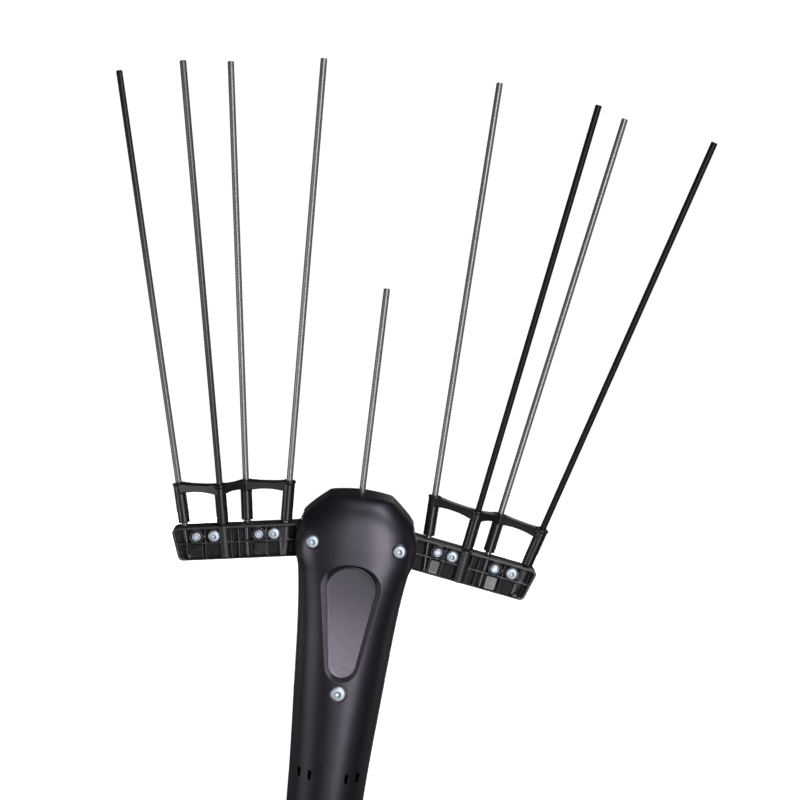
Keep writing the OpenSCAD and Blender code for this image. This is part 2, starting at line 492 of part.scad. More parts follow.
module right_clamp_nuts() { comb(1) clamp_nuts(); }

// ---------------------------------------------------------------- output
front_shell();
rear_shell();
badge_plate();
pivot_bolts();
pivot_nuts();
pivot_sleeves();
thrust_washers();
case_screw();
case_nut();
lower_case_screws();
gear_frame();
motor_screws();
motor_can();
motor_magnets();
motor_end_bell();
motor_brushes();
motor_bearings();
crank_axle();
guide_rods();
centre_tine();
tine_ferrule();
pole_socket();
clamp_collar();
clamp_bolt();
clamp_nut();
power_connector();
lead_plus();
lead_minus();
motor_shaft();
armature();
commutator();
drive_pinion();
crown_gear();
crank_pin();
crank_roller();
crank_bearing();
drive_yoke();
yoke_bushes();
left_arm_front();
left_arm_rear();
left_pivot_bush();
left_tine_bridge();
left_tine_1();
left_tine_2();
left_tine_3();
left_tine_4();
left_clamp_bolts();
left_clamp_nuts();
right_arm_front();
right_arm_rear();
right_pivot_bush();
right_tine_bridge();
right_tine_1();
right_tine_2();
right_tine_3();
right_tine_4();
right_clamp_bolts();
right_clamp_nuts();
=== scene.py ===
import bpy, bmesh, math
import numpy as np
from mathutils import Matrix, Vector
from mathutils.bvhtree import BVHTree


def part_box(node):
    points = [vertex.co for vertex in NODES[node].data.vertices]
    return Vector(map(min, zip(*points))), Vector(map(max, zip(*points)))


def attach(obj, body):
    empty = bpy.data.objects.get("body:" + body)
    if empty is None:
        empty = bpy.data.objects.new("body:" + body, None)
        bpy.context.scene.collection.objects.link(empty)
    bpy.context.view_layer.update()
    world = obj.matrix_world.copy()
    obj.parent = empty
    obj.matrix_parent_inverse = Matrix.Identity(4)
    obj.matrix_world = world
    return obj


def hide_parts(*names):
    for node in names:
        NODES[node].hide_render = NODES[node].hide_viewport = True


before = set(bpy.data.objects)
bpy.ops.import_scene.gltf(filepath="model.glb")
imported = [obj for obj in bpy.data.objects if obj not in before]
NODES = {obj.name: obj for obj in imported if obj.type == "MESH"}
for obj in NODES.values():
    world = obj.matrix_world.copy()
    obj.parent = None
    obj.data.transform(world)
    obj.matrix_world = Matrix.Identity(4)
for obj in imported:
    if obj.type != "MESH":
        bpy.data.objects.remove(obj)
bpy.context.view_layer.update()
MM = 0.001
H = 300.0                      # pivot height above the socket mouth, mm
PX = 34.0                      # pivots left and right of the tool axis, mm
DROOP = math.radians(9.4)
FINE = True

# ------------------------------------------------------------------ materials
def node(nt, kind, **kw):
    n = nt.nodes.new(kind)
    for k, v in kw.items():
        setattr(n, k, v)
    return n


def make_mat(name, base, rough, metal=0.0, spec=0.5, mottle=(60, 0.18), rvar=(140, 0.07),
             grain=(2600, 0.08, 0.00006), stretch=(1, 1, 1), bevel=0.0, coat=0.0, coat_rough=0.1,
             fine=None, tint=None, painted_light_grade=None, deep=None, proud=None, stint=None, painted_side_light=()):
    """Procedural surface: mottled colour, uneven roughness and a fine moulded or drawn grain, with optional painted
    light and shade along Z or towards one side.
    """
    m = bpy.data.materials.new(name)
    m.use_nodes = True
    nt = m.node_tree
    b = nt.nodes["Principled BSDF"]
    b.inputs["Metallic"].default_value = metal
    b.inputs["Specular IOR Level"].default_value = spec
    if stint:
        b.inputs["Specular Tint"].default_value = (*stint, 1)
    b.inputs["Coat Weight"].default_value = coat
    b.inputs["Coat Roughness"].default_value = coat_rough
    tc = node(nt, "ShaderNodeTexCoord")
    mp = node(nt, "ShaderNodeMapping")
    mp.inputs["Scale"].default_value = stretch
    nt.links.new(tc.outputs["Object"], mp.inputs["Vector"])
    n1 = node(nt, "ShaderNodeTexNoise")
    n1.inputs["Scale"].default_value = mottle[0]
    n1.inputs["Detail"].default_value = 5
    nt.links.new(mp.outputs[0], n1.inputs["Vector"])
    cr = node(nt, "ShaderNodeValToRGB")
    lo = [c * (1 - mottle[1]) for c in base]
    hi = [c * (1 + mottle[1]) for c in (tint or base)]
    cr.color_ramp.elements[0].position, cr.color_ramp.elements[1].position = 0.3, 0.7
    cr.color_ramp.elements[0].color = (*lo, 1)
    cr.color_ramp.elements[1].color = (*hi, 1)
    nt.links.new(n1.outputs["Fac"], cr.inputs["Fac"])
    colour = cr.outputs["Color"]
    if fine:
        n4 = node(nt, "ShaderNodeTexNoise")
        n4.inputs["Scale"].default_value = fine[0]
        n4.inputs["Detail"].default_value = 3
        nt.links.new(mp.outputs[0], n4.inputs["Vector"])
        mr = node(nt, "ShaderNodeMapRange")
        mr.inputs["From Min"].default_value, mr.inputs["From Max"].default_value = 0.35, 0.65
        mr.inputs["To Min"].default_value, mr.inputs["To Max"].default_value = 1 - fine[1], 1 + fine[1]
        nt.links.new(n4.outputs["Fac"], mr.inputs["Value"])
        mx = node(nt, "ShaderNodeMix", data_type="RGBA", blend_type="MULTIPLY")
        mx.inputs[0].default_value = 1.0
        nt.links.new(colour, mx.inputs[6])
        nt.links.new(mr.outputs[0], mx.inputs[7])
        colour = mx.outputs[2]
    if painted_light_grade:
        # painted light and shade: colour fades along the object's own Z
        sz = node(nt, "ShaderNodeSeparateXYZ")
        nt.links.new(tc.outputs["Object"], sz.inputs[0])
        mr = node(nt, "ShaderNodeMapRange", interpolation_type="SMOOTHSTEP")
        for k, q in zip(("From Min", "From Max", "To Min", "To Max"), painted_light_grade):
            mr.inputs[k].default_value = q
        nt.links.new(sz.outputs["Z"], mr.inputs["Value"])
        mx = node(nt, "ShaderNodeMix", data_type="RGBA", blend_type="MULTIPLY")
        mx.inputs[0].default_value = 1.0
        nt.links.new(colour, mx.inputs[6])
        nt.links.new(mr.outputs[0], mx.inputs[7])
        colour = mx.outputs[2]
    for kx, kz, c0, e0, e1, gain in painted_side_light:
        # painted light: lighter on one side of a slanting line in the object's X and Z
        sz = node(nt, "ShaderNodeVectorMath", operation="DOT_PRODUCT")
        nt.links.new(tc.outputs["Object"], sz.inputs[0])
        sz.inputs[1].default_value = (kx, 0.0, kz)
        mr = node(nt, "ShaderNodeMapRange", interpolation_type="SMOOTHSTEP")
        for k, q in zip(("From Min", "From Max", "To Min", "To Max"), (e0 - c0, e1 - c0, gain, 1.0)):
            mr.inputs[k].default_value = q
        nt.links.new(sz.outputs["Value"], mr.inputs["Value"])
        mx = node(nt, "ShaderNodeMix", data_type="RGBA", blend_type="MULTIPLY")
        mx.inputs[0].default_value = 1.0
        nt.links.new(colour, mx.inputs[6])
        nt.links.new(mr.outputs[0], mx.inputs[7])
        colour = mx.outputs[2]
    nt.links.new(colour, b.inputs["Base Color"])
    n2 = node(nt, "ShaderNodeTexNoise")
    n2.inputs["Scale"].default_value = rvar[0]
    n2.inputs["Detail"].default_value = 4
    nt.links.new(mp.outputs[0], n2.inputs["Vector"])
    r = node(nt, "ShaderNodeMapRange")
    r.inputs["From Min"].default_value, r.inputs["From Max"].default_value = 0.3, 0.7
    r.inputs["To Min"].default_value = max(0.03, rough - rvar[1])
    r.inputs["To Max"].default_value = rough + rvar[1]
    nt.links.new(n2.outputs["Fac"], r.inputs["Value"])
    rough_out = r.outputs[0]
    for lvl in [q for q in (deep and (deep[0], deep[1], deep[2], 0.0), proud and (proud[0], proud[1], 0.0, proud[2])) if q]:
        # coarser mould finish low between the ribs, and worn on the proud edges
        sy = node(nt, "ShaderNodeSeparateXYZ")
        nt.links.new(tc.outputs["Object"], sy.inputs[0])
        ab = node(nt, "ShaderNodeMath", operation="ABSOLUTE")
        nt.links.new(sy.outputs["Y"], ab.inputs[0])
        mr = node(nt, "ShaderNodeMapRange", interpolation_type="SMOOTHSTEP")
        for k, q in zip(("From Min", "From Max", "To Min", "To Max"), lvl):
            mr.inputs[k].default_value = q
        nt.links.new(ab.outputs[0], mr.inputs["Value"])
        ad = node(nt, "ShaderNodeMath", operation="ADD")
        nt.links.new(rough_out, ad.inputs[0])
        nt.links.new(mr.outputs[0], ad.inputs[1])
        rough_out = ad.outputs[0]
    nt.links.new(rough_out, b.inputs["Roughness"])
    n3 = node(nt, "ShaderNodeTexNoise")
    n3.inputs["Scale"].default_value = grain[0]
    n3.inputs["Detail"].default_value = 2
    nt.links.new(mp.outputs[0], n3.inputs["Vector"])
    bp = node(nt, "ShaderNodeBump")
    bp.inputs["Strength"].default_value = grain[1]
    bp.inputs["Distance"].default_value = grain[2]
    nt.links.new(n3.outputs["Fac"], bp.inputs["Height"])
    if bevel:
        bv = node(nt, "ShaderNodeBevel", samples=6)
        bv.inputs["Radius"].default_value = bevel
        nt.links.new(bv.outputs[0], bp.inputs["Normal"])
    nt.links.new(bp.outputs[0], b.inputs["Normal"])
    return m


M = {
    "casing": make_mat("casing_plastic", (0.0042, 0.0037, 0.0049), 0.37, mottle=(45, 0.16), rvar=(320, 0.025),
                       grain=(2300, 0.14, 0.00006), bevel=0.0004, stint=(0.92, 0.88, 1.0)),
    # recess walls: rougher finish, a darker colour as painted shade, and painted light on the left and right walls
    "rough_and_painted_light": make_mat("casing_recess_rough_painted_light", (0.0036, 0.0033, 0.0040), 0.72, mottle=(90, 0.16), rvar=(320, 0.04), spec=0.30,
                      grain=(1800, 0.22, 0.00008), bevel=0.0003,
                      painted_side_light=((1.0, 0.152, -0.0186, 0.0018, 0.0052, 15.0), (-1.0, 0.152, -0.0186, 0.0015, 0.0045, 5.0))),
    "comb": make_mat("comb_plastic", (0.0052, 0.0045, 0.0050), 0.29, mottle=(120, 0.25), rvar=(260, 0.05),
                     grain=(1500, 0.05, 0.00005), stretch=(0.5, 1, 1), deep=(0.0035, 0.0043, 0.40), proud=(0.0050, 0.0056, 0.20)),
    # sunk webs: rougher finish, and a slightly darker colour as painted shade between the ribs
    "web": make_mat("comb_plastic_web", (0.0046, 0.0040, 0.0047), 0.72, mottle=(120, 0.25), rvar=(260, 0.05), spec=0.24,
                    grain=(1200, 0.20, 0.00008), stretch=(0.5, 1, 1)),
    "bridge": make_mat("bridge_plastic", (0.0052, 0.0045, 0.0050), 0.34, spec=0.30, mottle=(120, 0.25), rvar=(260, 0.05),
                       grain=(1500, 0.05, 0.00005), stretch=(0.5, 1, 1)),
    # bare plate: painted shade and light, darker towards its top and lighter towards its bottom
    "badge": make_mat("badge_plastic", (0.030, 0.0280, 0.033), 0.36, mottle=(160, 0.10), rvar=(300, 0.05),
                      grain=(3500, 0.10, 0.00004), bevel=0.0002, painted_light_grade=(0.196, 0.280, 3.6, 0.44), stint=(0.94, 0.88, 1.0)),
    "zinc": make_mat("zinc_plated_steel", (0.35, 0.42, 0.48), 0.58, metal=1.0, mottle=(300, 0.10), rvar=(500, 0.06),
                     grain=(900, 0.06, 0.00003), tint=(0.42, 0.45, 0.47)),
    "steel": make_mat("bright_steel", (0.62, 0.62, 0.63), 0.24, metal=1.0, mottle=(180, 0.10), rvar=(420, 0.06),
                      grain=(1400, 0.10, 0.00003)),
    "bronze": make_mat("bronze", (0.48, 0.30, 0.12), 0.33, metal=1.0, mottle=(220, 0.16), rvar=(380, 0.08),
                       grain=(1600, 0.14, 0.00004)),
    "cast": make_mat("cast_aluminium", (0.46, 0.47, 0.48), 0.46, metal=1.0, mottle=(140, 0.14), rvar=(260, 0.09),
                     grain=(1100, 0.30, 0.00010)),
    "socket": make_mat("socket_aluminium", (0.50, 0.51, 0.53), 0.34, metal=1.0, mottle=(90, 0.08), rvar=(200, 0.06),
                       grain=(700, 0.16, 0.00005), stretch=(1, 1, 6)),
    "can": make_mat("motor_steel", (0.42, 0.43, 0.44), 0.32, metal=1.0, mottle=(110, 0.10), rvar=(240, 0.07),
                    grain=(900, 0.10, 0.00004), stretch=(1, 1, 0.25)),
    "ferrite": make_mat("ferrite", (0.045, 0.044, 0.045), 0.62, mottle=(400, 0.22), grain=(2600, 0.3, 0.00008)),
    "moulded": make_mat("moulded_black", (0.018, 0.018, 0.019), 0.48, mottle=(200, 0.2), grain=(2400, 0.15, 0.00006)),
    "graphite": make_mat("graphite", (0.07, 0.07, 0.072), 0.55, metal=0.3, mottle=(500, 0.25), grain=(2600, 0.25, 0.00006)),
    "nylon": make_mat("nylon", (0.62, 0.60, 0.54), 0.42, mottle=(150, 0.07), grain=(2000, 0.12, 0.00005)),
    "red": make_mat("lead_red", (0.36, 0.018, 0.016), 0.40, mottle=(220, 0.12), grain=(2200, 0.14, 0.00005)),
    "black": make_mat("lead_black", (0.014, 0.014, 0.015), 0.40, mottle=(220, 0.2), grain=(2200, 0.14, 0.00005)),
    # dark copy of the zinc: painted shade on the nut flats
    "zinc_shade": make_mat("zinc_shaded", (0.030, 0.031, 0.034), 0.5, metal=0.6, mottle=(300, 0.15), rvar=(500, 0.06), grain=(900, 0.06, 0.00003)),
    "copper": make_mat("copper", (0.62, 0.29, 0.16), 0.30, metal=1.0, mottle=(300, 0.18), rvar=(600, 0.08),
                       grain=(1800, 0.3, 0.00008)),
    "carbon": make_mat("carbon_rod", (0.150, 0.144, 0.142), 0.40, metal=0.75, mottle=(700, 0.09), rvar=(900, 0.04),
                       grain=(1700, 0.03, 0.00002), stretch=(1, 1, 0.012), fine=(2600, 0.08)),
    # copies of the rod material with painted light and shade: lighter root and darker tip, darker root and lighter tip,
    # and darker all over
    "carbon_painted_dark_tip": make_mat("carbon_rod_painted_dark_tip", (0.062, 0.059, 0.058), 0.42, metal=0.7, spec=0.35, mottle=(700, 0.09), rvar=(900, 0.04),
                           grain=(1700, 0.03, 0.00002), stretch=(1, 1, 0.012), fine=(2600, 0.08), painted_light_grade=(0.06, 0.36, 1.9, 0.30)),
    "carbon_painted_dark_root": make_mat("carbon_rod_painted_dark_root", (0.062, 0.059, 0.058), 0.42, metal=0.7, spec=0.35, mottle=(700, 0.09), rvar=(900, 0.04),
                            grain=(1700, 0.03, 0.00002), stretch=(1, 1, 0.012), fine=(2600, 0.08), painted_light_grade=(0.06, 0.36, 0.60, 1.35)),
    "carbon_painted_shade_all": make_mat("carbon_rod_painted_shade_all", (0.0075, 0.0064, 0.0068), 0.44, metal=0.5, spec=0.17, mottle=(700, 0.09), rvar=(900, 0.04),
                            grain=(1700, 0.03, 0.00002), stretch=(1, 1, 0.012), fine=(2600, 0.08)),
}

# ------------------------------------------------------------------ mesh helpers
def new_obj(name, verts_mm, faces, mat=None, smooth=None):
    me = bpy.data.meshes.new(name)
    me.from_pydata([tuple(v) for v in (np.asarray(verts_mm, float) * MM).tolist()], [], faces)
    me.update()
    o = bpy.data.objects.new(name, me)
    bpy.context.scene.collection.objects.link(o)
    if mat:
        me.materials.append(mat)
    if smooth:
        shade(o, smooth)
    return o


def shade(o, deg):
    """Smooth faces, with edges sharper than deg kept as edges."""
    bm = bmesh.new()
    bm.from_mesh(o.data)
    lim = math.radians(deg)
    for f in bm.faces:
        f.smooth = True
    for e in bm.edges:
        e.smooth = len(e.link_faces) != 2 or e.calc_face_angle(0) < lim
    bm.to_mesh(o.data)
    bm.free()


def tidy(o, dist=1e-7):
    bm = bmesh.new()
    bm.from_mesh(o.data)
    bmesh.ops.remove_doubles(bm, verts=bm.verts, dist=dist)
    bmesh.ops.dissolve_degenerate(bm, edges=bm.edges, dist=dist)
    bmesh.ops.recalc_face_normals(bm, faces=bm.faces)
    bm.to_mesh(o.data)
    bm.free()


def bake_mods(o):
    """Replaces the object's mesh by its evaluated one and drops the modifiers."""
    dg = bpy.context.evaluated_depsgraph_get()
    me = bpy.data.meshes.new_from_object(o.evaluated_get(dg))
    o.modifiers.clear()
    old = o.data
    o.data = me
    bpy.data.meshes.remove(old)
    return o


def boolean(o, cutter, op="DIFFERENCE"):
    md = o.modifiers.new("cut", "BOOLEAN")
    md.operation = op
    md.object = cutter
    md.solver = "MANIFOLD"
    bake_mods(o)
    bpy.data.objects.remove(cutter)
    return o


def rings_mesh(rings, cap0=True, cap1=True):
    """Closed tube from equal-length rings of points, each ring a closed loop."""
    k, c = len(rings), len(rings[0])
    v = np.concatenate([np.asarray(r, float) for r in rings])
    f = [(i * c + j, i * c + (j + 1) % c, (i + 1) * c + (j + 1) % c, (i + 1) * c + j) for i in range(k - 1) for j in range(c)]
    if cap0:
        f.append(tuple(range(c - 1, -1, -1)))
    if cap1:
        f.append(tuple((k - 1) * c + j for j in range(c)))
    return v, f


def prism(name, outline0, y0, outline1, y1):
    """Solid between two equal-length outlines in (x, z), at depths y0 and y1."""
    r = [[(p[0], y0, p[1] + H) for p in outline0], [(p[0], y1, p[1] + H) for p in outline1]]
    v, f = rings_mesh(r)
    o = new_obj(name, v, f)
    tidy(o)
    return o


def rod_y(name, x, z, r, y0, y1, n=72, flare=None):
    c = [(x + r * math.cos(2 * math.pi * i / n), z + r * math.sin(2 * math.pi * i / n)) for i in range(n)]
    return prism(name, c, y0, c, y1)


def rod_z(name, r, z0, z1, n=72):
    c = [(r * math.cos(2 * math.pi * i / n), r * math.sin(2 * math.pi * i / n)) for i in range(n)]
    v, f = rings_mesh([[(*p, z0 + H) for p in c], [(*p, z1 + H) for p in c]])
    o = new_obj(name, v, f)
    tidy(o)
    return o


def arc(cx, cz, r, a0, a1, n):
    return [(cx + r * math.cos(math.radians(a0 + (a1 - a0) * i / n)), cz + r * math.sin(math.radians(a0 + (a1 - a0) * i / n))) for i in range(n + 1)]


# ------------------------------------------------------------------ casing shells
ZW = np.array([[-260, 29.4], [-222, 31.1], [-196, 32.0], [-170, 33.3], [-145, 34.8], [-119, 36.4], [-94, 37.9], [-69, 39.5], [-48, 41.1], [-34, 42.6], [-22.4, 44.1]])
ZB = np.array([[-260, 29.2], [-222, 30.6], [-196, 31.4], [-170, 32.2], [-145, 33.0], [-119, 33.8], [-94, 34.5], [-69, 35.1], [-48, 35.6], [-22.4, 36], [-4, 36]])
ZS = np.array([[-260, 0.8], [-69, 1.2], [-48, 3.5], [-34, 6.5], [-22.4, 9.2], [13.4, 9.2], [15.6, 6.5], [34, 10], [37, 10]])
ZN = np.array([[-260, 2.1], [-145, 2.3], [-94, 2.5], [-48, 2.8], [-20, 3.0], [37, 2.7]])


def soft_lut(t, z, s):
    """Table by height, its corners eased over s millimetres."""
    k = np.linspace(-1, 1, 21)
    w = (1 - k * k) ** 2
    w /= w.sum()
    z = np.asarray(z, float)
    lo, hi = t[0], t[-1]
    def raw(q):
        y = np.interp(q, t[:, 0], t[:, 1])
        y = np.where(q < lo[0], lo[1] + (q - lo[0]) * (t[1, 1] - t[0, 1]) / (t[1, 0] - t[0, 0]), y)
        return np.where(q > hi[0], hi[1] + (q - hi[0]) * (t[-1, 1] - t[-2, 1]) / (t[-1, 0] - t[-2, 0]), y)
    return sum(wi * raw(z + ki * s) for ki, wi in zip(k, w))


def half_w(z):
    if z < -22.3:
        return float(soft_lut(ZW, z, 14))
    if z < 13.45:
        return 48 - 0.0152 * (z + 4.3) ** 2
    if z < 15.3:
        return 43.1 + (z - 13.45) * 0.25
    if z < 34.05:
        return 44.4 - 19.1 * ((z - 15.3) / 18.7) ** 1.18
    return 25.3 * math.sqrt(max(0.004, (36.65 - z) / 2.6))


def half_d(z):
    if z < -4:
        return float(soft_lut(ZB, z, 14)) if z < -22.4 else 36.0
    return 10.5 + 25.5 * math.sqrt(max(0, 1 - ((z + 4) / 41.2) ** 2))


def band(z):
    return float(soft_lut(ZS, z, 7))


def sq(z):
    return float(soft_lut(ZN, z, 10))


def profile():
    """Side outline of the casing in (half width, height), with small radii at its corners."""
    p = [(half_w(z), z) for z in np.arange(-264, 34.049, 0.05)]
    p += [(a, 36.65 - 2.6 * (a / 25.3) ** 2) for a in np.arange(25.3, -4.0, -0.05)]
    p = np.array(p)
    s = np.concatenate([[0], np.cumsum(np.linalg.norm(np.diff(p, axis=0), axis=1))])
    u = np.arange(0, s[-1], 0.05)
    q = np.column_stack([np.interp(u, s, p[:, 0]), np.interp(u, s, p[:, 1])])
    g = np.exp(-0.5 * (np.arange(-40, 41) * 0.05 / 0.38) ** 2)
    g /= g.sum()
    qs = np.column_stack([np.convolve(np.pad(q[:, k], 40, mode="edge"), g, mode="valid") for k in (0, 1)])
    qs = qs[(qs[:, 1] > -260.0)]
    out, last, ang = [qs[0]], 0, None
    for i in range(1, len(qs)):
        if qs[i, 0] < 0.25:
            break
        d = qs[i] - qs[i - 1]
        th = math.atan2(d[1], d[0])
        ang = th if ang is None else ang
        step = (i - last) * 0.05
        lim = 2.6 if qs[i, 1] < -30 else 1.5
        if step > lim or (abs(th - ang) > math.radians(7) and step > 0.14):
            out.append(qs[i])
            last, ang = i, th
    out[0] = np.array([half_w(-260), -260.0])
    return out


def main_w(z):
    """Half width of the casing's front faces: the cheeks without the steps beside the arm slots."""
    k = np.linspace(-1, 1, 31)
    g = (1 - k * k) ** 2
    g /= g.sum()
    def raw(q):
        if q < -22.35:
            return float(soft_lut(ZW, q, 14))
        if q > 15.3:
            return 44.4 - 19.1 * ((q - 15.3) / 18.7) ** 1.18
        d = q + 4.3
        return 48 - 3.9 * (d / 18.05) ** 2 if d < 0 else 48 - 3.6 * (d / 19.6) ** 2
    return sum(gi * raw(z + 5.0 * ki) for ki, gi in zip(k, g))


def face_w(a, z):
    """Half width used for the front faces at a level whose side stands at a."""
    t = min(1.0, max(0.0, (26.0 - z) / 7.0)) if z > -24 else min(1.0, max(0.0, (z + 34) / 10.0))
    return a + (main_w(z) - a) * t * t * (3 - 2 * t)


def face_y(x, z):
    """Depth of the casing's front face at a point, negative to the front."""
    c = (abs(x) / face_w(half_w(z), z)) ** (sq(z) / 2)
    return -(band(z) + (half_d(z) - band(z)) * math.sqrt(max(0.0, 1 - c * c)) ** (2 / sq(z)))


def section(a, b, w, n, y0, m, chamfer=0.0, side=None):
    """Half ring from (-a, y0) over the front to (a, y0), evenly spaced; y is negative to the front.
    side is the half width at the parting plane, where it differs from a."""
    t = np.linspace(0, math.pi, 1600)
    c, s = np.cos(t), np.sin(t)
    x = -a * np.sign(c) * np.abs(c) ** (2 / n)
    y = -(w + (b - w) * np.abs(s) ** (2 / n))
    yc = y0 - chamfer
    x = np.concatenate([[-a], x, [a]])
    y = np.concatenate([[yc], y, [yc]])
    d = np.concatenate([[0], np.cumsum(np.hypot(np.diff(x), np.diff(y)))])
    u = np.linspace(0, d[-1], m + 1)
    xs, ys = np.interp(u, d, x), np.interp(u, d, y)
    if side is not None:
        k = np.clip((-ys - 9.6) / 9.0, 0, 1)
        xs = xs * (1 + (side / a - 1) * (1 - k * k * (3 - 2 * k)))
        a = side
    r = [(float(xx), float(yy)) for xx, yy in zip(xs, ys)]
    if chamfer:
        e = min(chamfer, 0.5 * a)
        r = [(-a + e, y0)] + r + [(a - e, y0)]
    return r


def half_solid(name, levels, rear=False):
    """Solid half casing from level rings, flat on the parting plane."""
    k, c = len(levels), len(levels[0][1])
    sgn = -1 if rear else 1
    v = np.array([(x, sgn * y, z + H) for z, r in levels for x, y in r])
    f = [(i * c + j, i * c + (j + 1) % c, (i + 1) * c + (j + 1) % c, (i + 1) * c + j) for i in range(k - 1) for j in range(c)]
    f.append(tuple(range(c - 1, -1, -1)))
    f.append(tuple((k - 1) * c + j for j in range(c)))
    o = new_obj(name, v, f)
    tidy(o)
    return o


LEV_I = [-254, -240, -222, -196, -170, -145, -119, -94, -69, -48, -34, -26, -20, -12, -4, 3, 9, 16, 21, 26, 31, 33.2]


def in_w(z):
    return half_w(z) - 2.8 if z < 10 else min(half_w(z + 2.2) - 2.8, 40.4)


def badge_pts(g, n=40):
    return arc(0, -36.4, 20.2 + g, 12, 168, n) + arc(0, -95.6, 10.9 + g, 180, 360, n)


def rim_pts(g=0.0, n=40):
    top = []
    for i in range(n + 1):
        t = math.radians(14 + 152 * i / n)
        c, k = math.cos(t), math.sin(t)
        top.append(((24.5 + g) * math.copysign(abs(c) ** 0.87, c), -38.6 + (24.5 + g) * k ** 0.87))
    return top + arc(0, -96.3, 13.4 + g, 180, 360, n)


def soften(p, s=2.4, n=260):
    """Closed outline with its corners rounded, evenly spaced from the middle of its top."""
    p = np.array(p)
    k = int(np.argmax(p[:, 1]))
    q = np.vstack([p[k:], p[:k], p[k:k + 1]])
    d = np.concatenate([[0], np.cumsum(np.hypot(*np.diff(q, axis=0).T))])
    u = np.linspace(0, d[-1], n, endpoint=False)
    r = np.column_stack([np.interp(u, d, q[:, 0]), np.interp(u, d, q[:, 1])])
    m = int(3 * s / (d[-1] / n))
    g = np.exp(-0.5 * (np.arange(-m, m + 1) * d[-1] / n / s) ** 2)
    g /= g.sum()
    return sum(gi * np.roll(r, i, axis=0) for i, gi in zip(range(-m, m + 1), g))


def badge_line(g):
    return soften(badge_pts(g + 0.28))


def rim_line(g=0.0):
    return soften(rim_pts(g + 0.22))


def recess(name):
    """Cutter of the badge recess: a flat floor and a dished wall that meets the front face along the rim."""
    a, b = badge_line(0.0), rim_line()
    ys = np.array([face_y(q[0], q[1]) for q in b])
    rings = []
    for t, k in ((0.0, 0.0), (0.05, 0.03), (0.12, 0.10), (0.25, 0.23), (0.45, 0.43), (0.70, 0.68), (0.90, 0.87), (1.0, 1.0)):
        q = a + (b - a) * t
        rings.append([(x, -31.8 + (y + 31.8) * k, z + H) for (x, z), y in zip(q, ys)])
    for g, d in ((0.25, 0.30), (0.8, 2.0)):
        rings.append([(x, y - d, z + H) for (x, z), y in zip(rim_line(g), ys)])
    rings.append([(x, -42.0, z + H) for x, z in rim_line(0.8)])
    v, f = rings_mesh(rings)
    o = new_obj(name, v, f)
    tidy(o)
    return o


def casing(rear):
    side = "rear" if rear else "front"
    s = -1 if rear else 1
    m = 112
    lev = [(z, section(face_w(a, z), half_d(z), band(z), sq(z), 0.0, m, 0.3, side=a)) for a, z in profile()]
    o = half_solid("casing_" + side, lev, rear)
    inner = half_solid("inner", [(z, section(in_w(z), half_d(min(z + 2, 36)) - 2.8, max(0.5, band(z) - 0.6), sq(z), 1.0, 48)) for z in LEV_I], rear)
    bosses = []
    if not rear:
        bosses += [rod_y("b", q * PX, 0, 7.6, -36, -8.4) for q in (-1, 1)]
        bosses += [rod_y("b", 0, -119.2, 6.5, -36, -0.2)]
        bosses += [rod_y("b", q * 20, -232, 4.2, -34, -0.2) for q in (-1, 1)]
        bosses += [prism("b", badge_pts(4), -36, badge_pts(4), -29.7)]
    else:
        bosses += [rod_y("b", q * PX, 0, 7.6, 23.4, 36) for q in (-1, 1)]
        bosses += [rod_y("b", 0, -119.2, 6.5, 0.2, 36)]
        bosses += [rod_y("b", q * 20, -232, 4.9, 0.2, 34) for q in (-1, 1)]
    for b in bosses:
        boolean(inner, b)
    boolean(o, inner)
    cut = []
    for q in (-1, 1):
        x0, x1 = q * 40 - 20, q * 40 + 20
        # arm slot with small corner radii
        oc = []
        for cx, cz, a0 in ((x1 - 1, 12.45, 0), (x0 + 1, 12.45, 90), (x0 + 1, -21.3, 180), (x1 - 1, -21.3, 270)):
            oc += arc(cx, cz, 1.0, a0, a0 + 90, 6)
        cut.append(prism("c", oc, -8.6 * s, oc, 2.0 * s))
        if not rear:
            cut += [rod_y("c", q * PX, 0, 6.0, -42, -30.3), rod_y("c", q * PX, 0, 3.1, -42, -5), rod_y("c", q * PX, 0, 5.03, -24, -5),
                    rod_y("c", q * 20, -232, 1.95, -14, 2)]
        else:
            cut += [rod_y("c", q * PX, 0, 3.1, 5, 42), rod_y("c", q * PX, 0, 5.03, 5, 24), rod_y("c", q * PX, 0, 6.1, 26, 42),
                    rod_y("c", q * 20, -232, 2.1, -2, 30), rod_y("c", q * 20, -232, 4.2, 18, 40)]
    if not rear:
        cut += [rod_y("c", 0, -119.2, 7.0, -42, -32.4), rod_y("c", 0, -119.2, 3.1, -42, 2)]
        cut += [recess("c")]
    else:
        cut += [rod_y("c", 0, -119.2, 3.1, -2, 42), rod_y("c", 0, -119.2, 6.1, 26, 42)]
    cut += [rod_z("c", 2.8, 28, 40), rod_z("c", 18.05, -262, -250)]
    for x in (-23.5, -14.8, 14.8, 23.5):
        v = arc(x, -187.5, 1.5, 0, 180, 14) + arc(x, -193.5, 1.2, 180, 360, 14)
        cut.append(prism("c", v, -40 * s, v, -12 * s))
    for c in cut:
        boolean(o, c)
    o.data.materials.clear()
    o.data.materials.append(M["casing"])
    tidy(o, 2e-6)
    if not rear:
        # the recess has a coarser mould finish than the faces round it, a darker colour as painted shade, and painted
        # light lighter towards its left and right walls
        o.data.materials.append(M["rough_and_painted_light"])
        for q in o.data.polygons:
            x, y, z = q.center.x * 1000, q.center.y * 1000, q.center.z * 1000 - H
            k = (z + 96.7) / 58.1
            if -111 < z < -13 and abs(x) < 13.7 + 11.0 * min(1.0, max(0.0, k)) and -36.6 < y < -31.7 and y > face_y(x, z) + 0.06:
                q.material_index = 1
    shade(o, 30)
    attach(o, "housing")
    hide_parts(side + "_shell")
    return o


front = casing(False)
back = casing(True)

